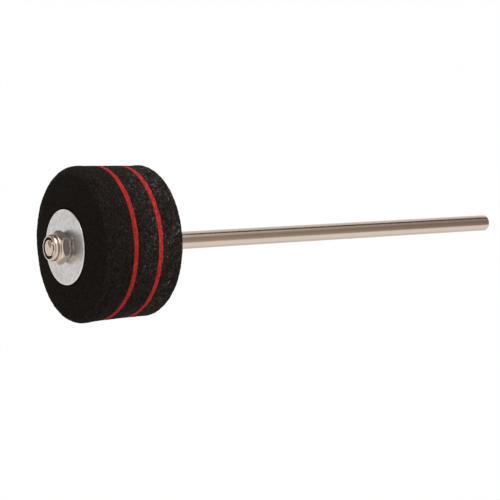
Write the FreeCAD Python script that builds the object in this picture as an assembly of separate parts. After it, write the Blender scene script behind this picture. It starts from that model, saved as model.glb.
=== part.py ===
import FreeCAD, Part

import math
import os

# Bass drum beater: a round felt head clamped between two washers on the threaded end of a steel rod.
# Millimetres. The rod stands along Z with the head at the top. The origin is on the rod's axis,
# at the middle of the stretch that the pedal's hub grips.

# Rod
shaft_diameter = 8.0
shaft_length = 259.5
grip_height = 30.0
tail_rounding = 1.0
thread_diameter = 7.8
thread_end_chamfer = 0.5
thread_runout = 1.0
thread_below_rear_nut = 3.0
thread_end_sunk = 0.05

# Felt head, from the nut end to the rod's tail
head_front_diameter = 68.4
head_rear_diameter = 66.8
front_rim_rounding = 4.2
rear_rim_rounding = 2.6
front_felt_thickness = 12.7
front_felt_crown = 1.7
red_felt_thickness = 2.2
middle_felt_thickness = 10.4
rear_felt_thickness = 11.0
felt_hole_clearance = 0.2

# Washers, one at each end of the head
washer_diameter = 33.1
washer_thickness = 1.6
washer_hole_clearance = 0.3
washer_edge_chamfer = 0.3

# Both nuts
nut_across_flats = 13.0
nut_chamfer_circle_share = 0.95
nut_chamfer_angle = 38.0
nut_thread_clearance = 0.05
nut_countersink = 0.5
nut_sides = 6

# Lock nut: bearing face, hexagon, ring, groove, and a collar with its lip crimped over the insert
lock_nut_hex_height = 4.7
bearing_face_diameter = 12.0
bearing_face_height = 0.25
hexagon_foot_height = 1.0
hexagon_foot_draft = 0.3
hexagon_foot_diameter = 12.9
collar_ring_height = 1.0
collar_ring_step = 0.3
collar_ring_chamfer = 0.25
collar_groove_height = 0.45
collar_groove_depth = 0.3
collar_height = 1.6
collar_crimp = 0.3
collar_wall = 0.55
collar_lip_rounding = 0.6
collar_lip_overhang = 0.45
insert_wall = 1.25
insert_height = 2.0
insert_below_lip = 0.45
insert_clearance = 0.03

# Rear nut, a plain hexagon
rear_nut_height = 6.5

# How far blanks run past what trims them, and the length under which two points are one
cut_overrun = 0.5
same_point = 1e-6

# Radii
shaft_radius = shaft_diameter / 2
thread_radius = thread_diameter / 2
washer_radius = washer_diameter / 2
bore_radius = thread_radius + nut_thread_clearance
insert_seat_radius = bore_radius + insert_wall
collar_radius = insert_seat_radius + collar_wall
nut_corner_radius = nut_across_flats / 2 / math.cos(math.pi / nut_sides)
nut_face_radius = nut_across_flats * nut_chamfer_circle_share / 2
nut_blank_radius = nut_corner_radius + cut_overrun
nut_chamfer_rise = (nut_blank_radius - nut_face_radius) * math.tan(math.radians(nut_chamfer_angle))

# Heights, downwards from the rod's threaded end
tail_z = -grip_height
thread_end_z = tail_z + shaft_length
lip_z = thread_end_z + thread_end_sunk
collar_foot_z = lip_z - collar_height
ring_top_z = collar_foot_z - collar_groove_height
ring_foot_z = ring_top_z - collar_ring_height
lock_nut_base_z = ring_foot_z - lock_nut_hex_height
head_front_z = lock_nut_base_z - washer_thickness
front_rim_z = head_front_z - front_felt_crown
front_red_top_z = head_front_z - front_felt_thickness
middle_top_z = front_red_top_z - red_felt_thickness
rear_red_top_z = middle_top_z - middle_felt_thickness
rear_felt_top_z = rear_red_top_z - red_felt_thickness
head_rear_z = rear_felt_top_z - rear_felt_thickness
rear_nut_top_z = head_rear_z - washer_thickness
rear_nut_base_z = rear_nut_top_z - rear_nut_height
thread_start_z = rear_nut_base_z - thread_below_rear_nut


def rounded_outline(corners):
    """Closed wire through (radius, height, rounding) corners in the XZ plane, with tangent arcs."""
    points = [FreeCAD.Vector(radius, 0, height) for radius, height, rounding in corners]
    runs = []
    for i, (radius, height, rounding) in enumerate(corners):
        corner = points[i]
        back = (points[i - 1] - corner).normalize()
        ahead = (points[(i + 1) % len(points)] - corner).normalize()
        half_angle = back.getAngle(ahead) / 2
        reach = rounding / math.tan(half_angle)
        start = corner + back * reach
        end = corner + ahead * reach
        middle = corner + (back + ahead).normalize() * (rounding / math.sin(half_angle) - rounding)
        runs.append((start, middle, end))
    edges = []
    for i, (start, middle, end) in enumerate(runs):
        last_end = runs[i - 1][2]
        if last_end.distanceToPoint(start) > same_point:
            edges.append(Part.LineSegment(last_end, start).toShape())
        if start.distanceToPoint(end) > same_point:
            edges.append(Part.Arc(start, middle, end).toShape())
    return Part.Wire(edges)


def turned(corners):
    """Solid of revolution about Z."""
    return Part.Face(rounded_outline(corners)).revolve(FreeCAD.Vector(), FreeCAD.Vector(0, 0, 1))


def head_radius_at(z):
    """Radius of the head's slightly tapered side at a height."""
    rise_share = (z - head_rear_z) / (front_rim_z - head_rear_z)
    return (head_rear_diameter + (head_front_diameter - head_rear_diameter) * rise_share) / 2


def felt_disc(top_z, thickness, top_rounding=0, bottom_rounding=0, crown=0):
    """One felt layer of the head, with a hole that passes over the thread.

    A crowned layer is flat under the washer and falls away from there to its rim.
    """
    hole_radius = thread_radius + felt_hole_clearance
    bottom_z = top_z - thickness
    rim_z = top_z - crown
    corners = [
        (hole_radius, bottom_z, 0),
        (head_radius_at(bottom_z), bottom_z, bottom_rounding),
        (head_radius_at(rim_z), rim_z, top_rounding),
    ]
    if crown:
        corners.append((washer_radius, top_z, 0))
    corners.append((hole_radius, top_z, 0))
    return turned(corners)


def washer(bottom_z):
    """Broad flat washer with its outer edges broken."""
    hole_radius = thread_radius + washer_hole_clearance
    face_radius = washer_radius - washer_edge_chamfer
    top_z = bottom_z + washer_thickness
    return turned([
        (hole_radius, bottom_z, 0),
        (face_radius, bottom_z, 0),
        (washer_radius, bottom_z + washer_edge_chamfer, 0),
        (washer_radius, top_z - washer_edge_chamfer, 0),
        (face_radius, top_z, 0),
        (hole_radius, top_z, 0),
    ])


def rod():
    """Plain shank with a rounded tail and a threaded end, drawn at the thread's outer diameter."""
    return turned([
        (0, tail_z, 0),
        (shaft_radius, tail_z, tail_rounding),
        (shaft_radius, thread_start_z - thread_runout, 0),
        (thread_radius, thread_start_z, 0),
        (thread_radius, thread_end_z - thread_end_chamfer, 0),
        (thread_radius - thread_end_chamfer, thread_end_z, 0),
        (0, thread_end_z, 0),
    ])


def hexagon(across_flats, z):
    """Hexagonal wire at a height, with two of its corners on the X axis."""
    up = FreeCAD.Vector(0, 0, 1)
    first_corner = FreeCAD.Vector(across_flats / 2 / math.cos(math.pi / nut_sides), 0, z)
    return Part.makePolygon([
        FreeCAD.Rotation(up, 360 * i / nut_sides).multVec(first_corner)
        for i in range(nut_sides + 1)
    ])


def cut_to_hexagon(blank, sections):
    """Forms a turned nut blank's flats from (across flats, height) sections."""
    wires = [hexagon(across_flats, z) for across_flats, z in sections]
    return blank.common(Part.makeLoft(wires, True, True))


def lock_nut():
    """Hexagon nut on a low bearing face, with a collar that holds the insert under a rolled lip."""
    ring_radius = collar_radius + collar_ring_step
    groove_radius = collar_radius - collar_groove_depth
    mouth_radius = insert_seat_radius - collar_lip_overhang
    insert_top_z = lip_z - insert_below_lip
    insert_bottom_z = insert_top_z - insert_height
    bearing_radius = bearing_face_diameter / 2
    foot_z = lock_nut_base_z + bearing_face_height
    foot_top_z = foot_z + hexagon_foot_height
    foot_radius = hexagon_foot_diameter / 2
    foot_across_flats = nut_across_flats - 2 * hexagon_foot_draft
    foot_chamfer_rise = (nut_blank_radius - foot_radius) * math.tan(math.radians(nut_chamfer_angle))
    blank = turned([
        (bore_radius + nut_countersink, lock_nut_base_z, 0),
        (bearing_radius, lock_nut_base_z, 0),
        (bearing_radius, foot_z, 0),
        (foot_radius, foot_z, 0),
        (nut_blank_radius, foot_z + foot_chamfer_rise, 0),
        (nut_blank_radius, ring_foot_z - nut_chamfer_rise, 0),
        (nut_face_radius, ring_foot_z, 0),
        (ring_radius, ring_foot_z, 0),
        (ring_radius, ring_top_z - collar_ring_chamfer, 0),
        (ring_radius - collar_ring_chamfer, ring_top_z, 0),
        (groove_radius, ring_top_z, 0),
        (groove_radius, collar_foot_z, 0),
        (collar_radius, collar_foot_z, 0),
        (collar_radius - collar_crimp, lip_z, collar_lip_rounding),
        (mouth_radius, lip_z, 0),
        (mouth_radius, insert_top_z, 0),
        (insert_seat_radius, insert_top_z, 0),
        (insert_seat_radius, insert_bottom_z, 0),
        (bore_radius, insert_bottom_z, 0),
        (bore_radius, lock_nut_base_z + nut_countersink, 0),
    ])
    return cut_to_hexagon(blank, [
        (foot_across_flats, lock_nut_base_z - cut_overrun),
        (foot_across_flats, foot_z),
        (nut_across_flats, foot_top_z),
        (nut_across_flats, lip_z + cut_overrun),
    ])


def nylon_insert():
    """Ring that grips the thread, seated in the lock nut's collar."""
    top_z = lip_z - insert_below_lip
    bottom_z = top_z - insert_height
    outer_radius = insert_seat_radius - insert_clearance
    return turned([
        (bore_radius, bottom_z, 0),
        (outer_radius, bottom_z, 0),
        (outer_radius, top_z, 0),
        (bore_radius, top_z, 0),
    ])


def rear_nut():
    """Plain nut that carries the head from behind, chamfered and countersunk on both faces."""
    blank = turned([
        (bore_radius + nut_countersink, rear_nut_base_z, 0),
        (nut_face_radius, rear_nut_base_z, 0),
        (nut_blank_radius, rear_nut_base_z + nut_chamfer_rise, 0),
        (nut_blank_radius, rear_nut_top_z - nut_chamfer_rise, 0),
        (nut_face_radius, rear_nut_top_z, 0),
        (bore_radius + nut_countersink, rear_nut_top_z, 0),
        (bore_radius, rear_nut_top_z - nut_countersink, 0),
        (bore_radius, rear_nut_base_z + nut_countersink, 0),
    ])
    return cut_to_hexagon(blank, [
        (nut_across_flats, rear_nut_base_z - cut_overrun),
        (nut_across_flats, rear_nut_top_z + cut_overrun),
    ])


parts = {
    "shaft": rod(),
    "lock_nut": lock_nut(),
    "nylon_insert": nylon_insert(),
    "front_washer": washer(head_front_z),
    "front_felt": felt_disc(
        head_front_z, front_felt_thickness, top_rounding=front_rim_rounding, crown=front_felt_crown),
    "front_red_felt": felt_disc(front_red_top_z, red_felt_thickness),
    "middle_felt": felt_disc(middle_top_z, middle_felt_thickness),
    "rear_red_felt": felt_disc(rear_red_top_z, red_felt_thickness),
    "rear_felt": felt_disc(rear_felt_top_z, rear_felt_thickness, bottom_rounding=rear_rim_rounding),
    "rear_washer": washer(rear_nut_top_z),
    "rear_nut": rear_nut(),
}

os.makedirs("parts", exist_ok=True)
for name, shape in parts.items():
    shape.exportStep(f"parts/{name}.step")
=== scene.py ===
"""Bass drum beater: a layered felt head on a plated rod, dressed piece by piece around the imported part."""

import math

import bmesh
import bpy
from bpy.props import FloatProperty, FloatVectorProperty, PointerProperty
from bpy.types import Operator, Panel, PropertyGroup
from mathutils import Matrix, Vector, noise


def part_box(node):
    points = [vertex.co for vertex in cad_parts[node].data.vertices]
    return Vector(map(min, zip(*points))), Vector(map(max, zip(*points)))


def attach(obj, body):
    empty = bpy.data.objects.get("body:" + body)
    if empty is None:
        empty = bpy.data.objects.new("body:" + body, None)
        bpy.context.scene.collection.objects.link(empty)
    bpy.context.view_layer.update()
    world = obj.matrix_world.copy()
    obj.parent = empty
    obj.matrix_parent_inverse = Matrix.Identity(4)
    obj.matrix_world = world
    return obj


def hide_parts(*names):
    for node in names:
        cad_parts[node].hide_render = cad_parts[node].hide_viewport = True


bl_info = {
    "name": "Bass Drum Beater",
    "version": (1, 0, 0),
    "blender": (4, 5, 0),
    "location": "View3D > Sidebar > Beater",
    "description": "Builds a felt-headed bass drum beater with its rod, nuts, washers and studio",
    "category": "Add Mesh",
}

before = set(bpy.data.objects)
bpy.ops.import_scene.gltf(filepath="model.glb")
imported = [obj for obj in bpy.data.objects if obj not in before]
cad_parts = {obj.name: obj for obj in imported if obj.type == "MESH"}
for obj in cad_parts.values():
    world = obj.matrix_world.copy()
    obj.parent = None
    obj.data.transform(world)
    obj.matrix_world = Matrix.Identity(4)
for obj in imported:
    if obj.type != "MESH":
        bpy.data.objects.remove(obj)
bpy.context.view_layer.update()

MM = 0.001
TURN = 2 * math.pi
WHITE = (1.0, 1.0, 1.0)

# Width of the picture in pixels, and of the camera's sensor in millimetres
PICTURE = 500
SENSOR = 36.0

# How many directions round a turned piece, and how near two points are merged
ROUND_STEPS = 72
WASHER_STEPS = 160
MERGE_DISTANCE = 0.001 * MM

# Which body each piece moves with
FIXED_BODY = "beater"
WASHER_BODY = "front_washer"
NUT_BODY = "lock_nut"


def node_radius(node):
    """Largest reach of a turned node from the rod's axis along X."""
    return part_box(node)[1].x


def node_heights(node):
    """Lowest and highest level of a node."""
    low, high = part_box(node)
    return low.z, high.z


def length(name, description, millimetres):
    """A length property, given in millimetres."""
    return FloatProperty(name=name, description=description, default=millimetres * MM,
                         precision=5, unit="LENGTH")


def lengths(name, description, *millimetres):
    """Several lengths in one property, given in millimetres."""
    return FloatVectorProperty(name=name, description=description,
                               default=[value * MM for value in millimetres],
                               size=len(millimetres), precision=5, unit="LENGTH")


def angle(name, description, degrees):
    """An angle property, given in degrees."""
    return FloatProperty(name=name, description=description, default=math.radians(degrees),
                         subtype="ANGLE")


def share(name, description, value):
    """A property from 0 to 1."""
    return FloatProperty(name=name, description=description, default=value, min=0, max=1,
                         subtype="FACTOR")


def colour(name, description, value):
    """A linear colour property."""
    return FloatVectorProperty(name=name, description=description, default=value, size=3, min=0, max=1,
                               subtype="COLOR")


class ShaftSettings(PropertyGroup):
    """Rod with its thread."""

    tail_rounding: length("Tail rounding", "Rounding of the plain end's edge", 1.0)
    thread_length: length("Thread length", "Threaded stretch, from the rod's end", 58.9)
    thread_step: length("Thread step", "How far the thread lies inside the shank's surface", 0.1)
    thread_pitch: length("Thread pitch", "Rise of the thread in one turn", 1.25)
    thread_depth: length("Thread depth", "Depth of the thread's groove", 0.62)
    run_out: length("Run-out", "Stretch over which the groove fades into the shank", 1.6)
    end_chamfer: length("End chamfer", "Width of the chamfer on the threaded end", 0.45)
    plate: colour("Plate", "Colour of the nickel plate", (0.70, 0.62, 0.545))
    # The colour of the dark brown patch and the stains on the threaded end's face
    end_marks: colour("Worn end", "Colour of the bare patch on the threaded end", (0.22, 0.13, 0.09))
    roughness: share("Roughness", "Blur of the rod's reflections", 0.15)


class NutSettings(PropertyGroup):
    """Lock nut, its insert, and the rear nut."""

    chamfer_circle: length("Chamfer circle", "Diameter of the circle left on a chamfered face", 12.35)
    chamfer_angle: angle("Chamfer angle", "Slope of the corner chamfers", 38.0)
    corner_rounding: length("Corner rounding", "Rounding between two flats", 0.55)
    edge_rounding: length("Edge rounding", "Rounding of the other edges", 0.12)
    bore_diameter: length("Bore", "Hole through both nuts", 7.9)
    countersink: length("Countersink", "Width of the bore's chamfer", 0.5)
    bearing_diameter: length("Bearing face", "Width of the round face that bears on the washer", 12.0)
    bearing_height: length("Bearing height", "How far that face stands out from the hexagon", 0.25)
    foot_diameter: length("Foot diameter", "Circle to which the hexagon's foot is cut", 12.9)
    foot_height: length("Foot height", "Height over which the flats draw in at the foot", 1.0)
    foot_draft: length("Foot draft", "How far the flats draw in", 0.3)
    hex_height: length("Hexagon height", "Height of the lock nut's hexagon", 4.7)
    ring_height: length("Ring height", "Height of the ring at the collar's foot", 1.0)
    ring_diameter: length("Ring diameter", "Width of the ring at the collar's foot", 12.1)
    groove_height: length("Groove height", "Gap between the ring and the collar", 0.45)
    groove_diameter: length("Groove diameter", "Width at the bottom of the groove", 10.6)
    collar_diameter: length("Collar diameter", "Width of the collar at its foot", 11.7)
    crimped_diameter: length("Crimped diameter", "Width of the collar where its lip is crimped", 11.1)
    lip_rounding: length("Lip rounding", "Roll of the crimped lip", 0.75)
    mouth_rounding: length("Mouth rounding", "Rounding of the lip's inner edge", 0.15)
    mouth_diameter: length("Mouth diameter", "Opening inside the crimped lip", 9.5)
    plate: colour("Plate", "Colour of the nut's bright plate", (0.73, 0.645, 0.575))
    roughness: share("Roughness", "Blur of the nut's reflections", 0.13)
    nylon: colour("Nylon", "Colour of the insert", (0.012, 0.012, 0.014))


class WasherSettings(PropertyGroup):
    """The two broad washers."""

    hole_diameter: length("Hole", "Hole for the rod", 8.4)
    top_rounding: length("Rolled edge", "Rounding of the edge on the die's side", 0.35)
    bottom_rounding: length("Cut edge", "Rounding of the other edges", 0.15)
    plate: colour("Plate", "Colour of the satin plate", (0.603, 0.625, 0.640))
    roughness: share("Roughness", "Blur of the washer's reflections", 0.33)


class FeltSettings(PropertyGroup):
    """The five felt discs of the head."""

    front_diameter: length("Front diameter", "Width of the head at its front", 68.4)
    rear_diameter: length("Rear diameter", "Width of the head at its rear", 66.8)
    front_rim: length("Front rim", "Rounding of the front edge", 4.2)
    rear_rim: length("Rear rim", "Rounding of the rear edge", 2.6)
    crown: length("Crown", "How far the front face falls from the washer to the rim", 1.7)
    swell: length("Swell", "How far the felt rises round the washer that presses it", 1.15)
    layer_edge: length("Layer edge", "Rounding where two layers meet", 0.22)
    hole_diameter: length("Hole", "Hole for the rod", 8.2)
    off_centre: lengths(
        "Off centre", "How far the discs' outline lies off the rod's axis", 0.94, -0.28)
    front_fullness: lengths(
        "Front fullness", "How much fuller the front rim is towards +X, +Y, -X and -Y", 0.0, -0.7, 0.42, 0.2)
    rear_fullness: lengths(
        "Rear fullness", "How much fuller the rear rim is towards +X, +Y, -X and -Y", 0.42, 0.0, 0.22, 0.1)
    join_lean: length(
        "Join lean", "How far the joins between layers dip towards +X and rise towards -X", 1.2)
    layer_wave: length("Layer wave", "How far the joins between layers wander", 0.12)
    lump_height: length("Lump height", "Height of the broad unevenness", 0.16)
    grain_height: length("Grain height", "Height of the felt's grain", 0.11)
    mesh_step: length("Mesh step", "Distance between points on the felt's open surface", 0.55)
    black: colour("Black", "Colour of the black felt", (0.0134, 0.0104, 0.0087))
    red: colour("Red", "Colour of the red felt", (0.388, 0.0238, 0.0253))
    fleck: colour("Fleck", "Colour of the pale fibres on the black felt's side", (0.16, 0.15, 0.145))


class StageSettings(PropertyGroup):
    """Camera, floor and light."""

    lens: FloatProperty(
        name="Lens", description="Focal length on a full-frame sensor", default=118.8,
        subtype="DISTANCE_CAMERA")
    rod_slant: angle("Rod slant", "Angle between the line of sight and the rod", 53.897)
    rod_rise: angle("Rod rise", "How far the rod climbs across the picture", 3.684)
    rod_turn: angle(
        "Rod turn", "How far the part is turned round its rod towards the picture's top", -1.0)
    head_distance: length(
        "Head distance", "Distance of the head's front along the line of sight", 716.6)
    head_place: FloatVectorProperty(
        name="Head place", description="Where the front rim's centre shows, in pixels from the top left",
        default=(71.077, 246.815), size=2)
    floor_drop: length("Floor drop", "How far the floor lies below the rod's tail", 150.0)
    floor_size: length("Floor size", "Width of the floor", 16000.0)
    key_bearing: angle(
        "Key bearing", "Direction of the key light round the rod, from the camera's side", 58.0)
    key_height: angle("Key height", "Height of the key light", 34.0)
    key_width: angle("Key width", "How wide the key light looks", 24.0)
    key_strength: FloatProperty(
        name="Key strength", description="Light that the key lamp gives", default=1.7)
    fill_level: share("Fill level", "Light that comes from all round", 0.60)


def tinted(value, factor):
    """A colour, lighter or darker."""
    return tuple(min(1.0, channel * factor) for channel in value)


class Wire:
    """One output in a shader tree. Sums of wires and numbers add Math nodes to the tree."""

    def __init__(self, tree, socket):
        self.tree = tree
        self.socket = socket

    def output(self, name):
        """Another output of the same node."""
        return Wire(self.tree, self.socket.node.outputs[name])

    def step(self, low, high):
        """Smooth step from 0 at low to 1 at high."""
        return self.tree.node("ShaderNodeMapRange", {"interpolation_type": "SMOOTHSTEP"},
                              {"Value": self, "From Min": low, "From Max": high})

    def between(self, start, full, fade, end):
        """1 from full to fade, falling to 0 at start and at end."""
        return self.step(start, full) * (1 - self.step(fade, end))

    def swing(self, amount):
        """The wire's swing about one half, times an amount."""
        return amount * (self - 0.5)

    def __add__(self, other):
        return self.tree.maths("ADD", self, other)

    def __radd__(self, other):
        return self.tree.maths("ADD", other, self)

    def __sub__(self, other):
        return self.tree.maths("SUBTRACT", self, other)

    def __rsub__(self, other):
        return self.tree.maths("SUBTRACT", other, self)

    def __mul__(self, other):
        return self.tree.maths("MULTIPLY", self, other)

    def __rmul__(self, other):
        return self.tree.maths("MULTIPLY", other, self)

    def __truediv__(self, other):
        return self.tree.maths("DIVIDE", self, other)

    def __rtruediv__(self, other):
        return self.tree.maths("DIVIDE", other, self)

    def __abs__(self):
        return self.tree.maths("ABSOLUTE", self)


class Tree:
    """The shader nodes of one material or world."""

    def __init__(self, owner):
        owner.use_nodes = True
        self.nodes = owner.node_tree.nodes
        self.links = owner.node_tree.links
        self.nodes.clear()

    def node(self, kind, settings=None, inputs=None, output=0):
        """Adds a node with its settings and then its inputs, and gives one of its outputs."""
        made = self.nodes.new(kind)
        for name, value in (settings or {}).items():
            if name == "stops":
                self.set_stops(made.color_ramp, value)
            else:
                setattr(made, name, value)
        for name, value in (inputs or {}).items():
            self.feed(made.inputs[name], value)
        if made.outputs:
            return Wire(self, made.outputs[output])
        return None

    def feed(self, socket, value):
        """Links a wire to a socket, or sets the socket's own value."""
        if isinstance(value, Wire):
            self.links.new(value.socket, socket)
        elif socket.type == "RGBA":
            socket.default_value = (*tuple(value)[:3], 1.0)
        else:
            socket.default_value = value

    def set_stops(self, ramp, stops):
        """Gives a ramp its (place, colour) stops."""
        while len(ramp.elements) < len(stops):
            ramp.elements.new(1.0)
        for element, (place, value) in zip(ramp.elements, stops):
            element.position = place
            element.color = (*value, 1.0)

    def maths(self, operation, *values):
        """A Math node."""
        return self.node("ShaderNodeMath", {"operation": operation}, dict(enumerate(values)))

    def vector(self, operation, *values):
        """A Vector Math node."""
        return self.node("ShaderNodeVectorMath", {"operation": operation}, dict(enumerate(values)))

    def blend(self, factor, first, second):
        """A mix of two colours."""
        return self.node("ShaderNodeMix", {"data_type": "RGBA"}, {0: factor, 6: first, 7: second}, 2)

    def shades(self, factor, value, dark, light):
        """A colour that runs from a darker shade of it to a lighter one."""
        return self.blend(factor, tinted(value, dark), tinted(value, light))

    def place(self):
        """Position on the piece, in metres in the part's frame."""
        return self.node("ShaderNodeTexCoord", output="Object")

    def parts(self, place):
        """X, Y and Z of a position."""
        x = self.node("ShaderNodeSeparateXYZ", {}, {"Vector": place})
        return x, x.output("Y"), x.output("Z")

    def reach(self, x, y):
        """Distance from the rod's axis."""
        return self.maths("SQRT", x * x + y * y)

    def grain(self, place, size, detail=2.0, distortion=0.0):
        """Noise from 0 to 1 whose lumps are about as wide as size."""
        return self.node("ShaderNodeTexNoise", {}, {
            "Vector": place, "Scale": 1 / size, "Detail": detail, "Distortion": distortion})

    def relief(self, height, depth, strength=1.0):
        """Normal of a surface with that height map, depth metres high."""
        return self.node("ShaderNodeBump", {}, {
            "Height": height, "Distance": depth, "Strength": strength})

    def finish(self, inputs):
        """The material's surface."""
        surface = self.node("ShaderNodeBsdfPrincipled", {}, inputs)
        self.node("ShaderNodeOutputMaterial", {}, {"Surface": surface})


def material_tree(name):
    """A new material and its empty tree."""
    made = bpy.data.materials.new(name)
    return made, Tree(made)


def nickel_rod(settings):
    """Polished nickel plate with fine lines drawn along the rod."""
    made, tree = material_tree("nickel_rod")
    place = tree.place()
    drawn = tree.vector("MULTIPLY", place, (1.0, 1.0, 0.012))
    lines = tree.grain(drawn, size=0.35 * MM, detail=3.0)
    cloud = tree.grain(place, size=9 * MM, detail=3.0)
    nicks = tree.grain(place, size=0.7 * MM).step(0.70, 0.76)

    # The threaded end's face is scarred and stained, and darker brown in a patch round one spot
    end_z = node_heights("shaft")[1]
    end = tree.parts(place)[2].step(end_z - 0.2 * MM, end_z - 0.1 * MM)
    scars = tree.grain(place, size=1.3 * MM, detail=3.0)
    stains = tree.grain(place, size=0.9 * MM).step(0.48, 0.72)
    patch_centre = (1.8 * MM, -1.0 * MM, end_z)
    off = tree.vector("DISTANCE", place, patch_centre).output("Value")
    # A dark brown patch with a ragged edge round one spot, and fainter stains over the rest of the face
    end_marks = end * (1 - (off / MM + scars.swing(2.4)).step(1.0, 2.0))
    end_marks = tree.maths("MAXIMUM", end_marks, 0.4 * end * stains)

    plate = tree.shades(cloud, settings.plate, 0.96, 1.04)
    roughness = settings.roughness + lines.swing(0.10) + cloud.swing(0.06) + 0.12 * nicks + 0.2 * end
    tree.finish({
        "Base Color": tree.blend(0.9 * end_marks, plate, settings.end_marks),
        "Metallic": 1.0,
        "Roughness": roughness,
        "Normal": tree.relief(lines + 0.4 * nicks + 22 * end * scars, depth=0.004 * MM),
    })
    return made


def bright_nut(settings):
    """Bright plate over a forged and turned nut, a little dull in the hollows."""
    made, tree = material_tree("bright_nut")
    place = tree.place()
    dents = tree.grain(place, size=1.3 * MM, detail=3.0)
    fine = tree.grain(place, size=0.25 * MM)
    turned = tree.grain(tree.vector("MULTIPLY", place, (0.02, 0.02, 1.0)), size=0.16 * MM)
    tree.finish({
        "Base Color": tree.shades(dents, settings.plate, 0.93, 1.05),
        "Metallic": 1.0,
        "Roughness": settings.roughness + dents.swing(0.12) + fine.swing(0.08),
        "Normal": tree.relief(dents + 0.25 * fine + 0.3 * turned, depth=0.03 * MM),
    })
    return made


def black_nylon(settings):
    """Moulded nylon, slightly uneven where the thread has pressed it."""
    made, tree = material_tree("black_nylon")
    skin = tree.grain(tree.place(), size=0.3 * MM, detail=3.0)
    tree.finish({
        "Base Color": tree.shades(skin, settings.nylon, 0.8, 1.3),
        "Roughness": 0.6 + skin.swing(0.2),
        "Specular IOR Level": 0.2,
        "Normal": tree.relief(skin, depth=0.05 * MM),
    })
    return made


def satin_washer(settings):
    """Tumbled satin plate: cloudy, with fine scratches that run every way."""
    made, tree = material_tree("satin_washer")
    place = tree.place()
    cloud = tree.grain(place, size=5 * MM, detail=4.0, distortion=0.6)
    spots = tree.grain(place, size=1.4 * MM, detail=3.0).step(0.30, 0.70)
    fine = tree.grain(place, size=0.22 * MM, detail=3.0)
    cells = tree.node("ShaderNodeTexVoronoi", {"feature": "DISTANCE_TO_EDGE"},
                      {"Vector": place, "Scale": 1 / (2.6 * MM), "Randomness": 1.0})
    scratch = 1 - cells.step(0.0, 0.03)

    # Painted highlight: the rolled edge's colour is made lighter, standing in for the light it catches
    edge = node_radius("front_washer") - settings.bottom_rounding
    reach = tree.reach(*tree.parts(place)[:2])
    rim = reach.step(edge, edge + 0.1 * MM)
    painted_edge_highlight = reach.step(edge - 0.35 * MM, edge - 0.15 * MM)

    mottled = tree.shades(0.5 * cloud + 0.5 * spots, settings.plate, 0.76, 1.24)
    roughness = settings.roughness + cloud.swing(0.09) + fine.swing(0.08) + 0.05 * scratch - 0.16 * rim
    tree.finish({
        # The painted highlight lightens the rolled edge's colour
        "Base Color": tree.blend(0.8 * painted_edge_highlight, mottled, tinted(settings.plate, 1.6)),
        "Metallic": 1.0,
        "Roughness": roughness,
        "Normal": tree.relief(fine + 0.8 * cloud + 0.1 * scratch, depth=0.012 * MM),
    })
    return made


def pressed_felt(settings, name, dye, fleck, contrast, sheen):
    """Pressed wool felt: matted fibres, lint, and a cut side, looser and flecked towards the rear."""
    made, tree = material_tree(name)
    place = tree.place()
    x, y, z = tree.parts(place)
    reach = tree.reach(x, y)
    side_start = settings.rear_diameter / 2 - 3 * MM
    front_z = node_heights("front_felt")[1] - settings.crown
    loose = z.step(front_z - 3 * MM, front_z - 30 * MM)
    side = reach.step(side_start, side_start + 1.5 * MM) * (0.55 + 0.60 * loose)
    mottle = tree.grain(place, size=7 * MM, detail=3.0)
    grain = tree.grain(place, size=1.0 * MM, detail=3.0, distortion=0.8).step(0.34, 0.68)
    strands = 1 - abs(tree.grain(place, size=1.6 * MM, distortion=3.0) - 0.5).step(0.0, 0.05)
    lint = tree.grain(place, size=0.7 * MM, detail=1.0).step(0.56, 0.72)

    # Scuffs are noise on a narrower cylinder, which stretches them round the head
    narrow = 11 * MM
    combed = tree.node("ShaderNodeCombineXYZ", {}, {
        "X": x / reach * narrow, "Y": y / reach * narrow, "Z": z})
    scuffs = tree.grain(combed, size=1.0 * MM, detail=3.0).step(0.48, 0.74)
    patches = mottle.step(0.40, 0.62) * side * loose.step(0.05, 0.70)
    flecks = tree.grain(place, size=1.1 * MM, detail=1.0, distortion=1.0).step(0.58, 0.72) * patches

    light = 0.40 * grain + 0.15 * strands + 0.20 * mottle + 0.75 * lint + 0.50 * side * scuffs
    # Painted shade: the faces get a darker, flatter colour than the cut side, partly for the side's looser
    # fibres and partly standing in for the faces catching less light
    light = light * (0.38 + 0.76 * side) + 0.075 * (1 - side)
    wool = tree.shades(light, dye, 1 - 0.8 * contrast, 1 + 2.0 * contrast)
    tree.finish({
        "Base Color": tree.blend(0.8 * flecks, wool, fleck),
        "Roughness": 0.96,
        "Specular IOR Level": 0.04,
        "Sheen Weight": sheen,
        "Sheen Roughness": 0.55,
        "Sheen Tint": tinted(dye, 12.0),
        "Normal": tree.relief(grain + 0.35 * strands + 0.4 * lint, depth=0.35 * MM, strength=0.8),
    })
    return made


def rounded_outline(corners, steps):
    """Points round a closed outline of (across, up, rounding) corners, with an arc at each rounding."""
    points = []
    for i, (across, up, rounding) in enumerate(corners):
        corner = Vector((across, up))
        if not rounding:
            points.append(corner)
            continue
        back = (Vector(corners[i - 1][:2]) - corner).normalized()
        ahead = (Vector(corners[(i + 1) % len(corners)][:2]) - corner).normalized()
        half_angle = back.angle(ahead) / 2
        middle = corner + (back + ahead).normalized() * (rounding / math.sin(half_angle))
        reach = rounding / math.tan(half_angle)
        first = corner + back * reach - middle
        last = corner + ahead * reach - middle
        sweep = math.atan2(first.x * last.y - first.y * last.x, first.dot(last))
        for k in range(steps + 1):
            points.append(middle + Matrix.Rotation(sweep * k / steps, 2) @ first)
    return points


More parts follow.
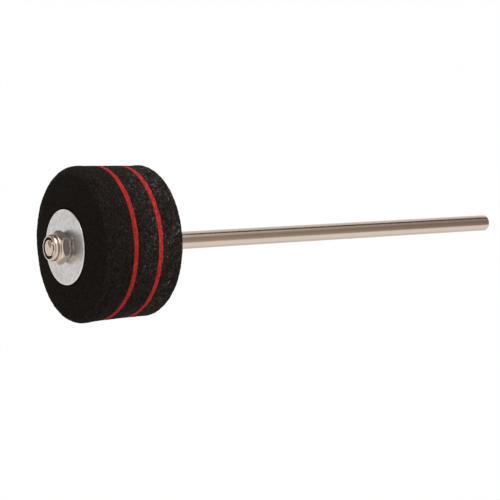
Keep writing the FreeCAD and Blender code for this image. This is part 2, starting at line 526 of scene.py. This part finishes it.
def divided(points, step, is_open=lambda middle: True):
    """A closed outline with points added wherever an open stretch is longer than step."""
    made = []
    for i, point in enumerate(points):
        ahead = points[(i + 1) % len(points)]
        made.append(point)
        count = 1
        if is_open((point + ahead) / 2):
            count = max(1, round((ahead - point).length / step))
        for k in range(1, count):
            made.append(point.lerp(ahead, k / count))
    return made


def ring_mesh(columns):
    """Points and faces of a closed ring, from one closed outline for each direction round the axis."""
    rows = len(columns[0])
    points = [point for column in columns for point in column]
    faces = []
    for i in range(len(columns)):
        here = i * rows
        beside = (i + 1) % len(columns) * rows
        for j in range(rows):
            up = (j + 1) % rows
            faces.append((here + j, beside + j, beside + up, here + up))
    return points, faces


def polar(reach, way, z):
    """The point at a reach from the axis, in a direction round it."""
    return reach * math.cos(way), reach * math.sin(way), z


def turned_column(outline, way):
    """A (radius, height) outline in one direction round the axis."""
    return [polar(point.x, way, point.y) for point in outline]


def turned_mesh(outline, steps):
    """A ring with the same outline in every direction."""
    return ring_mesh([turned_column(outline, way) for way in even_directions(steps)])


def even_directions(count):
    """Directions spread evenly round the axis."""
    return [TURN * i / count for i in range(count)]


def add_piece(node, body, slot, material, points, faces):
    """A finished piece that stands for a node: a cleaned, smooth mesh that rides on its body."""
    mesh = bpy.data.meshes.new(node)
    mesh.from_pydata(points, [], faces)
    work = bmesh.new()
    work.from_mesh(mesh)
    bmesh.ops.remove_doubles(work, verts=work.verts, dist=MERGE_DISTANCE)
    bmesh.ops.dissolve_degenerate(work, edges=work.edges, dist=MERGE_DISTANCE)
    bmesh.ops.recalc_face_normals(work, faces=work.faces)
    for face in work.faces:
        face.smooth = True
    work.to_mesh(mesh)
    work.free()
    piece = bpy.data.objects.new(node + "_piece", mesh)
    bpy.context.scene.collection.objects.link(piece)
    mesh.materials.append(material)
    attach(piece, body)
    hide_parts(node)
    return piece


def keep_flats_flat(piece):
    """Shades large faces flat and leaves the bend to the small ones at the edges."""
    weigh = piece.modifiers.new("flats", "WEIGHTED_NORMAL")
    weigh.weight = 90


def thread_profile(depth):
    """(share of the pitch, depth) of the thread's crest, flanks and rounded root."""
    return [
        (0.0, 0.0),
        (0.125, 0.0),
        (0.4375, depth * 0.94),
        (0.5625, depth),
        (0.6875, depth * 0.94),
    ]


def shaft_mesh(settings):
    """Rod from its rounded tail to its faced end, with a right-hand thread cut along its helix."""
    radius = node_radius("shaft")
    tail_z, end_z = node_heights("shaft")
    start_z = end_z - settings.thread_length - settings.run_out
    crest = radius - settings.thread_step
    directions = even_directions(ROUND_STEPS)
    count = len(directions)
    points = []
    faces = []

    def add_ring(reach, z):
        points.extend(polar(reach, way, z) for way in directions)
        return len(points) - count

    def join(low, high):
        for i in range(count):
            beside = (i + 1) % count
            faces.append((low + i, low + beside, high + beside, high + i))

    # Tail and shank
    rounding = settings.tail_rounding
    tail_steps = 8
    shank_steps = 40
    rings = [add_ring(0.0, tail_z), add_ring((radius - rounding) * 0.9, tail_z)]
    for k in range(tail_steps + 1):
        lean = math.pi / 2 * k / tail_steps
        reach = radius - rounding + rounding * math.sin(lean)
        rings.append(add_ring(reach, tail_z + rounding * (1 - math.cos(lean))))
    shank = start_z - tail_z - rounding
    for k in range(1, shank_steps + 1):
        rings.append(add_ring(radius, tail_z + rounding + shank * k / shank_steps))
    for low, high in zip(rings, rings[1:]):
        join(low, high)

    # Thread, whose rows climb one pitch in each turn. Rows past an end are held at it and merge there
    profile = thread_profile(settings.thread_depth)
    pitch = settings.thread_pitch
    turns = math.ceil((end_z - start_z) / pitch) + 2
    first_row = len(points)
    rows = [(turn - 1 + place, depth) for turn in range(turns) for place, depth in profile]
    for turn, depth in rows:
        for way in directions:
            z = start_z + pitch * (turn + way / TURN)
            past_end = z >= end_z
            z = min(max(z, start_z), end_z)
            fade = min(1.0, (z - start_z) / settings.run_out)
            reach = radius - (radius - crest + depth) * fade
            tip = crest - settings.end_chamfer + (end_z - z) / 2
            reach = tip if past_end else min(reach, tip)
            points.append(polar(reach, way, z))

    # The last point of a row has the first point of the row one turn higher beside it
    for row in range(len(rows) - 1):
        for i in range(count):
            low = first_row + row * count + i
            beside_row, beside = row, low + 1
            if i == count - 1:
                beside_row = row + len(profile)
                beside = first_row + beside_row * count
            if beside_row + 1 < len(rows):
                faces.append((low, beside, beside + count, low + count))

    # Faced end, turned a little hollow: (share of its radius, hollow in millimetres)
    tip = crest - settings.end_chamfer
    hollows = ((1.0, 0.0), (0.86, 0.02), (0.6, 0.05), (0.3, 0.06), (0.0, 0.06))
    end_rings = [add_ring(tip * reach, end_z - hollow * MM) for reach, hollow in hollows]
    for low, high in zip(end_rings, end_rings[1:]):
        join(low, high)
    return points, faces


def hexagon_outline(across_flats, rounding):
    """(direction, radius) round a hexagon with rounded corners, two of them on the X axis."""
    corner_radius = across_flats / 2 / math.cos(math.pi / 6)
    corners = [(*polar(corner_radius, way, 0)[:2], rounding) for way in even_directions(6)]
    points = divided(rounded_outline(corners, steps=6), step=0.6 * MM)
    return [(math.atan2(point.y, point.x), point.length) for point in points]


def nut_columns(across_flats, rounding, corners_at, steps):
    """One outline for each direction round a nut, from the hexagon's reach in that direction."""
    return [
        turned_column(rounded_outline(corners_at(reach), steps), way)
        for way, reach in hexagon_outline(across_flats, rounding)
    ]


def lock_nut_mesh(settings):
    """Hexagon, ring, groove and collar whose lip is rolled over the insert."""
    base_z, lip_z = node_heights("lock_nut")
    seat_low, seat_high = node_heights("nylon_insert")
    insert_gap = 0.03 * MM
    seat = node_radius("nylon_insert") + insert_gap
    edge = settings.edge_rounding
    face = settings.chamfer_circle / 2
    bore = settings.bore_diameter / 2
    ring = settings.ring_diameter / 2
    groove = settings.groove_diameter / 2
    collar = settings.collar_diameter / 2
    mouth = settings.mouth_diameter / 2
    hex_top = base_z + settings.hex_height
    ring_top = hex_top + settings.ring_height
    collar_foot = ring_top + settings.groove_height
    slope = math.tan(settings.chamfer_angle)
    bearing = settings.bearing_diameter / 2
    foot_z = base_z + settings.bearing_height

    def corners_at(reach):
        fall = (reach - face) * slope
        foot = reach - settings.foot_draft
        cut = max(foot - settings.foot_diameter / 2, 0)
        return [
            (bore + settings.countersink, base_z, edge),
            (bearing, base_z, edge / 2),
            (bearing, foot_z, 0),
            (foot - cut, foot_z, edge / 2),
            (reach, foot_z + settings.foot_height + cut * slope, edge / 2),
            (reach, hex_top - fall, edge),
            (face, hex_top, edge / 2),
            (ring, hex_top, 0),
            (ring, ring_top, edge * 2),
            (groove, ring_top, edge / 2),
            (groove, collar_foot, edge / 2),
            (collar, collar_foot, edge * 1.5),
            (settings.crimped_diameter / 2, lip_z, settings.lip_rounding),
            (mouth, lip_z, settings.mouth_rounding),
            (mouth, seat_high, 0),
            (seat, seat_high, 0),
            (seat, seat_low, 0),
            (bore, seat_low, 0),
            (bore, base_z + settings.countersink, edge),
        ]

    across_flats = 2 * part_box("lock_nut")[1].y
    return ring_mesh(nut_columns(across_flats, settings.corner_rounding, corners_at, steps=5))


def rear_nut_mesh(settings):
    """Plain hexagon nut, chamfered and countersunk on both faces."""
    base_z, top_z = node_heights("rear_nut")
    edge = settings.edge_rounding
    face = settings.chamfer_circle / 2
    bore = settings.bore_diameter / 2
    sink = settings.countersink
    slope = math.tan(settings.chamfer_angle)

    def corners_at(reach):
        fall = (reach - face) * slope
        return [
            (bore + sink, base_z, edge),
            (face, base_z, edge),
            (reach, base_z + fall, edge),
            (reach, top_z - fall, edge),
            (face, top_z, edge),
            (bore + sink, top_z, edge),
            (bore, top_z - sink, edge),
            (bore, base_z + sink, edge),
        ]

    across_flats = 2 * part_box("rear_nut")[1].y
    return ring_mesh(nut_columns(across_flats, settings.corner_rounding, corners_at, steps=4))


def insert_mesh(settings):
    """Nylon ring, with the edge that meets the thread pressed round."""
    low, high = node_heights("nylon_insert")
    outer = node_radius("nylon_insert")
    bore = settings.bore_diameter / 2
    outline = rounded_outline([
        (bore, low, 0.2 * MM),
        (outer, low, 0.1 * MM),
        (outer, high, 0.1 * MM),
        (bore, high, 0.45 * MM),
    ], steps=5)
    return turned_mesh(outline, ROUND_STEPS)


def washer_mesh(node, settings):
    """Flat washer with one edge rolled by the die and the others just broken."""
    low, high = node_heights(node)
    outer = node_radius(node)
    hole = settings.hole_diameter / 2
    outline = rounded_outline([
        (hole, low, settings.bottom_rounding),
        (outer, low, settings.bottom_rounding),
        (outer, high, settings.top_rounding),
        (hole, high, settings.bottom_rounding),
    ], steps=6)
    return turned_mesh(divided(outline, step=2 * MM), WASHER_STEPS)


def smooth_step(low, high, value):
    """0 at low, 1 at high, smooth between them."""
    level = min(1.0, max(0.0, (value - low) / (high - low)))
    return level * level * (3 - 2 * level)


def lumps(point, size, seed):
    """Smooth noise from -1 to 1 with lumps of a size."""
    return noise.noise(Vector(point) / size + Vector((seed, 2 * seed, 3 * seed)))


def round_head(amounts, way):
    """A value at a place round the head, from its values towards +X, +Y, -X and -Y."""
    place = way / TURN * len(amounts) % len(amounts)
    before = int(place)
    after = (before + 1) % len(amounts)
    return amounts[before] + (amounts[after] - amounts[before]) * smooth_step(0, 1, place - before)


class FeltLayer:
    """One felt disc of the head and what its open surface does."""

    # Distances from the washer's edge. The fine mesh goes on under it, the rest lies outside it
    UNDER = 1.5 * MM
    GAP = 0.08 * MM
    SWELL_TOP = 0.6 * MM
    GRAIN_START = 0.2 * MM
    GRAIN_FULL = 1.5 * MM
    SHIFT_FULL = 8 * MM

    SWELL_ROUNDING = 0.4 * MM

    # Distances from a rim's corner, in rim roundings, where its fullness starts to fade and is gone
    RIM_WHOLE = 0.5
    RIM_GONE = 2.3

    def __init__(self, node, settings, seed):
        self.settings = settings
        self.low, self.high = node_heights(node)
        self.seed = seed
        self.front_z = node_heights("front_felt")[1] - settings.crown
        self.rear_z = node_heights("rear_felt")[0]
        self.washer = node_radius("front_washer")
        self.is_front = node == "front_felt"
        self.is_rear = node == "rear_felt"

    def radius_at(self, z):
        """Radius of the head's tapered side."""
        rise = (z - self.rear_z) / (self.front_z - self.rear_z)
        rear, front = self.settings.rear_diameter, self.settings.front_diameter
        return (rear + (front - rear) * rise) / 2

    def outline(self):
        """(radius, height) round the disc's section, finely divided where it shows."""
        settings = self.settings
        hole = settings.hole_diameter / 2
        top_rim = settings.front_rim if self.is_front else settings.layer_edge
        bottom_rim = settings.rear_rim if self.is_rear else settings.layer_edge
        corners = [(hole, self.low, 0)]
        if self.is_rear:
            corners.append((self.washer - self.UNDER, self.low, 0))
        corners.append((self.radius_at(self.low), self.low, bottom_rim))
        top = self.front_z if self.is_front else self.high
        corners.append((self.radius_at(top), top, top_rim))
        if self.is_front:
            swell_z = self.high + settings.swell
            corners.append((self.washer + self.SWELL_TOP, swell_z, self.SWELL_ROUNDING))
            corners.append((self.washer + self.GAP, self.high, 0))
        corners.append((hole, self.high, 0))
        return divided(rounded_outline(corners, steps=8), settings.mesh_step, self.is_open)

    def is_open(self, point):
        """Whether a point of the section is on the surface that shows."""
        reach, z = point
        if reach > self.radius_at(z) - self.settings.layer_edge:
            return True
        on_front = self.is_front and z > self.front_z - self.settings.front_rim
        on_rear = self.is_rear and z < self.low + self.settings.rear_rim
        return reach > self.washer - self.UNDER and (on_front or on_rear)

    def join_wave(self, way, z):
        """How far a join between layers wanders and leans round the head. The open faces stay put."""
        if z > self.front_z - MM or z < self.rear_z + MM:
            return 0.0
        level = z / (3 * MM)
        broad = noise.noise(polar(4, way, level))
        fine = noise.noise(polar(17, way, level))
        # An odd power keeps each side's sign, and this one keeps the lean near +X and -X
        lean = self.settings.join_lean * math.cos(way) ** 5
        return self.settings.layer_wave * (broad + 0.6 * fine) - lean

    def columns(self, directions):
        """The felt's surface with its taper, its grain and its outline off centre."""
        outline = self.outline()
        shift_x, shift_y = self.settings.off_centre
        normals = []
        for i, point in enumerate(outline):
            along = outline[(i + 1) % len(outline)] - outline[i - 1]
            normals.append(Vector((along.y, -along.x)).normalized())
        columns = []
        for way in directions:
            low_wave = self.join_wave(way, self.low)
            high_wave = self.join_wave(way, self.high)
            column = []
            for point, normal in zip(outline, normals):
                reach, z = point
                rise = (z - self.low) / (self.high - self.low)
                show = 0.0
                if self.is_open(point):
                    show = smooth_step(self.GRAIN_START, self.GRAIN_FULL, reach - self.washer)
                raised = show * (self.relief(polar(reach, way, z)) + self.fullness(point, way))
                reach += raised * normal.x
                z += raised * normal.y + low_wave + (high_wave - low_wave) * rise
                part = smooth_step(self.GRAIN_FULL, self.SHIFT_FULL, reach - self.washer)
                x, y, z = polar(reach, way, z)
                column.append((x + part * shift_x, y + part * shift_y, z))
            columns.append(column)
        return columns

    def fullness(self, point, way):
        """How far the open rim swells or sinks at a place round the head."""
        settings = self.settings
        if self.is_front:
            corner_z, rim, amounts = self.front_z, settings.front_rim, settings.front_fullness
        elif self.is_rear:
            corner_z, rim, amounts = self.rear_z, settings.rear_rim, settings.rear_fullness
        else:
            return 0.0
        corner = Vector((self.radius_at(corner_z), corner_z))
        gone = smooth_step(self.RIM_WHOLE * rim, self.RIM_GONE * rim, (point - corner).length)
        return (1 - gone) * round_head(amounts, way)

    def relief(self, spot):
        """Height of the felt's surface over its plain shape."""
        settings = self.settings
        broad = lumps(spot, 11 * MM, self.seed)
        middling = lumps(spot, 3.2 * MM, self.seed + 5)
        grain = lumps(spot, 1.3 * MM, self.seed + 9) + 0.6 * lumps(spot, 0.75 * MM, self.seed + 14)
        return settings.lump_height * (broad + 0.5 * middling) + settings.grain_height * grain


def light_room(tree, turn):
    """What polished metal mirrors: a white table, a dim room round the camera, a dark gap, softboxes."""
    softbox = (2.2, 2.1, 2.0)
    white = (0.95, 0.88, 0.845)
    pale = (0.76, 0.71, 0.69)
    lit = (0.60, 0.52, 0.47)
    warm = (0.36, 0.295, 0.25)
    deep = (0.26, 0.215, 0.185)
    dim = (0.28, 0.255, 0.23)
    dark = (0.13, 0.11, 0.10)
    darkest = (0.06, 0.05, 0.045)
    way = tree.node("ShaderNodeTexCoord", output="Generated")
    way = tree.node("ShaderNodeVectorRotate", {"rotation_type": "Z_AXIS"}, {"Vector": way, "Angle": turn})
    x, y, z = tree.parts(way)
    bearing = tree.maths("ARCTAN2", x, 0 - y) / TURN + 0.5

    def place(degrees):
        """Where a bearing from the camera's side lies on the ramps, whose middle is that side."""
        return degrees / 360 + 0.5

    def ring(stops):
        """Colours round the part, by bearing from the camera's side."""
        places = [(place(degrees), value) for degrees, value in stops]
        return tree.node("ShaderNodeValToRGB", {"stops": places}, {"Fac": bearing})

    def below(middle, gleam):
        """Colours round the part towards the tail, which the rod mirrors."""
        return ring([
            (-130, pale), (-108, pale), (-94, white), (-44, white), (-35, lit),
            (-26, tinted(middle, 1.2)), (16, tinted(middle, 0.88)), (32, middle),
            (51, gleam), (58, gleam), (71, darkest), (84, darkest),
            (97, pale), (125, pale), (150, white)])

    # A direction's Z goes from -1 towards the tail to 1 towards the lock nut
    low = tree.blend(z.step(-0.685, -0.60), below(deep, warm), below(warm, lit))
    level = ring([(-60, white), (40, white), (60, pale), (120, dim), (150, dim), (168, white)])
    lit_side = [(-168, white), (-154, lit), (-122, lit), (-110, white), (-70, pale)]
    high = ring(lit_side + [(-35, dim), (150, dim), (166, white)])
    highest = ring(lit_side + [(-35, dark), (150, dark), (166, white)])
    room = tree.blend(z.step(-0.42, -0.22), low, level)
    room = tree.blend(z.step(0.0, 0.16), room, high)
    room = tree.blend(z.step(0.52, 0.64), room, highest)
    room = tree.blend(z.step(0.84, 0.95), room, white)
    across = bearing.between(place(33), place(43), place(76), place(86))
    upright = z.between(-0.53, -0.46, 0.10, 0.22) + z.between(0.58, 0.64, 0.74, 0.82)
    return tree.blend(across * upright, room, softbox)


def add_world(settings):
    """Even soft light from all round, white behind the object, and the room that metal mirrors."""
    world = bpy.data.worlds.new("soft_studio")
    bpy.context.scene.world = world
    tree = Tree(world)
    fill = tinted(WHITE, settings.fill_level)
    ray = tree.node("ShaderNodeLightPath", output="Is Camera Ray")
    seen = tree.blend(ray.output("Is Glossy Ray"), fill, light_room(tree, settings.rod_turn))
    seen = tree.blend(ray, seen, WHITE)
    light = tree.node("ShaderNodeBackground", {}, {"Color": seen, "Strength": 1.0})
    tree.node("ShaderNodeOutputWorld", {}, {"Surface": light})


def add_key(settings):
    """One broad lamp, high beside the camera."""
    lamp = bpy.data.lights.new("key", "SUN")
    lamp.energy = settings.key_strength
    lamp.angle = settings.key_width
    lamp.color = (1.0, 0.97, 0.94)
    key = bpy.data.objects.new("key", lamp)
    key.visible_glossy = False
    bearing = settings.key_bearing - settings.rod_turn
    height = settings.key_height
    level = math.cos(height)
    towards = Vector((math.sin(bearing) * level, -math.cos(bearing) * level, math.sin(height)))
    key.rotation_mode = "QUATERNION"
    key.rotation_quaternion = towards.to_track_quat("Z", "Y")
    bpy.context.scene.collection.objects.link(key)


def add_floor(settings):
    """Pale floor below the rod's tail, which shows white and keeps the object's shadow."""
    half = settings.floor_size / 2
    z = node_heights("shaft")[0] - settings.floor_drop
    mesh = bpy.data.meshes.new("floor")
    corners = [(-half, -half, z), (half, -half, z), (half, half, z), (-half, half, z)]
    mesh.from_pydata(corners, [], [(0, 1, 2, 3)])
    floor = bpy.data.objects.new("floor", mesh)
    bpy.context.scene.collection.objects.link(floor)
    floor.visible_glossy = False
    made, tree = material_tree("floor")
    glow_share = 0.97
    ray = tree.node("ShaderNodeLightPath", output="Is Camera Ray")
    paper = tree.node("ShaderNodeBsdfDiffuse", {}, {"Color": WHITE})
    glow = tree.node("ShaderNodeEmission", {}, {"Color": WHITE, "Strength": 1.0})
    mixed = tree.node("ShaderNodeMixShader", {}, {0: ray * glow_share, 1: paper, 2: glow})
    clear = tree.node("ShaderNodeBsdfTransparent", {}, {"Color": WHITE})
    under = tree.node("ShaderNodeNewGeometry", output="Backfacing")
    mixed = tree.node("ShaderNodeMixShader", {}, {0: under, 1: mixed, 2: clear})
    tree.node("ShaderNodeOutputMaterial", {}, {"Surface": mixed})
    mesh.materials.append(made)


def add_camera(settings):
    """Camera from how the rod lies in the picture: its slant, its rise, and where the head's front is."""
    slant, rise = settings.rod_slant, settings.rod_rise
    focal = settings.lens / SENSOR * PICTURE
    distance = settings.head_distance
    # Camera axes here are right, down and ahead
    aside = math.sin(slant)
    to_tail = Vector((aside * math.cos(rise), -aside * math.sin(rise), math.cos(slant)))
    row_x = to_tail.cross(Vector((0, 0, 1))).normalized()
    row_y = row_x.cross(to_tail)
    to_row = Matrix.Rotation(-settings.rod_turn, 3, "Z") @ Matrix((row_x, row_y, -to_tail))
    head = Vector((
        (settings.head_place[0] - PICTURE / 2) * distance / focal,
        (settings.head_place[1] - PICTURE / 2) * distance / focal,
        distance))
    rim_z = node_heights("front_felt")[1] - bpy.context.scene.beater_felts.crown
    location = Vector((0, 0, rim_z)) - to_row @ head
    right, up, back = (to_row @ Vector(axis) for axis in ((1, 0, 0), (0, -1, 0), (0, 0, -1)))
    data = bpy.data.cameras.new("camera")
    data.lens = settings.lens
    data.sensor_width = SENSOR
    camera = bpy.data.objects.new("camera", data)
    turned = Matrix((right, up, back)).transposed().to_4x4()
    camera.matrix_world = Matrix.Translation(location) @ turned
    bpy.context.scene.collection.objects.link(camera)
    bpy.context.scene.camera = camera


class BEATER_OT_stage(Operator):
    """Adds the camera, the floor, the light and the world"""

    bl_idname = "beater.stage"
    bl_label = "Stage"

    def execute(self, context):
        settings = context.scene.beater_stage
        context.scene.view_settings.view_transform = "Standard"
        add_camera(settings)
        add_floor(settings)
        add_key(settings)
        add_world(settings)
        return {"FINISHED"}


class BEATER_OT_shaft(Operator):
    """Adds the plated rod with its thread"""

    bl_idname = "beater.shaft"
    bl_label = "Shaft"

    def execute(self, context):
        settings = context.scene.beater_shaft
        plate = nickel_rod(settings)
        piece = add_piece("shaft", FIXED_BODY, "nickel_rod", plate, *shaft_mesh(settings))
        piece.data.set_sharp_from_angle(angle=math.radians(40))
        return {"FINISHED"}


class BEATER_OT_nuts(Operator):
    """Adds the lock nut with its nylon insert, and the rear nut"""

    bl_idname = "beater.nuts"
    bl_label = "Nuts"

    def execute(self, context):
        settings = context.scene.beater_nuts
        plate = bright_nut(settings)
        nuts = (("lock_nut", NUT_BODY, lock_nut_mesh), ("rear_nut", FIXED_BODY, rear_nut_mesh))
        for node, body, make in nuts:
            keep_flats_flat(add_piece(node, body, "bright_nut", plate, *make(settings)))
        nylon = black_nylon(settings)
        add_piece("nylon_insert", NUT_BODY, "black_nylon", nylon, *insert_mesh(settings))
        return {"FINISHED"}


class BEATER_OT_washers(Operator):
    """Adds the broad washers in front of and behind the head"""

    bl_idname = "beater.washers"
    bl_label = "Washers"

    def execute(self, context):
        settings = context.scene.beater_washers
        plate = satin_washer(settings)
        for node, body in (("front_washer", WASHER_BODY), ("rear_washer", FIXED_BODY)):
            keep_flats_flat(add_piece(node, body, "satin_washer", plate, *washer_mesh(node, settings)))
        return {"FINISHED"}


class BEATER_OT_felts(Operator):
    """Adds the five felt discs of the head"""

    bl_idname = "beater.felts"
    bl_label = "Felts"

    def execute(self, context):
        settings = context.scene.beater_felts
        dye = settings.black
        black = pressed_felt(settings, "black_felt", dye, settings.fleck, contrast=1.0, sheen=0.02)
        dye = settings.red
        red = pressed_felt(settings, "red_felt", dye, dye, contrast=0.4, sheen=0.03)
        directions = even_directions(round(math.pi * settings.front_diameter / settings.mesh_step))
        layers = ("rear_felt", "rear_red_felt", "middle_felt", "front_red_felt", "front_felt")
        for seed, node in enumerate(layers):
            layer = FeltLayer(node, settings, seed)
            slot, wool = ("red_felt", red) if "red" in node else ("black_felt", black)
            piece = add_piece(node, FIXED_BODY, slot, wool, *ring_mesh(layer.columns(directions)))
        return {"FINISHED"}


class BEATER_PT_pieces(Panel):
    """Lists the beater's pieces and their settings"""

    bl_idname = "BEATER_PT_pieces"
    bl_label = "Bass Drum Beater"
    bl_space_type = "VIEW_3D"
    bl_region_type = "UI"
    bl_category = "Beater"

    def draw(self, context):
        for operator, group, place in PIECES:
            box = self.layout.box()
            box.operator(operator.bl_idname)
            for name in group.__annotations__:
                box.prop(getattr(context.scene, place), name)


# Each operator, its settings, and where the scene keeps them
PIECES = (
    (BEATER_OT_stage, StageSettings, "beater_stage"),
    (BEATER_OT_shaft, ShaftSettings, "beater_shaft"),
    (BEATER_OT_nuts, NutSettings, "beater_nuts"),
    (BEATER_OT_washers, WasherSettings, "beater_washers"),
    (BEATER_OT_felts, FeltSettings, "beater_felts"),
)


def register():
    """Registers the settings, the operators and the panel."""
    for operator, group, place in PIECES:
        bpy.utils.register_class(group)
        setattr(bpy.types.Scene, place, PointerProperty(type=group))
        bpy.utils.register_class(operator)
    bpy.utils.register_class(BEATER_PT_pieces)


def unregister():
    """Takes them out again."""
    bpy.utils.unregister_class(BEATER_PT_pieces)
    for operator, group, place in reversed(PIECES):
        bpy.utils.unregister_class(operator)
        delattr(bpy.types.Scene, place)
        bpy.utils.unregister_class(group)


def main():
    """Builds the beater."""
    register()
    bpy.ops.beater.stage()
    bpy.ops.beater.shaft()
    bpy.ops.beater.nuts()
    bpy.ops.beater.washers()
    bpy.ops.beater.felts()
    bpy.context.view_layer.update()


if __name__ == "__main__":
    main()
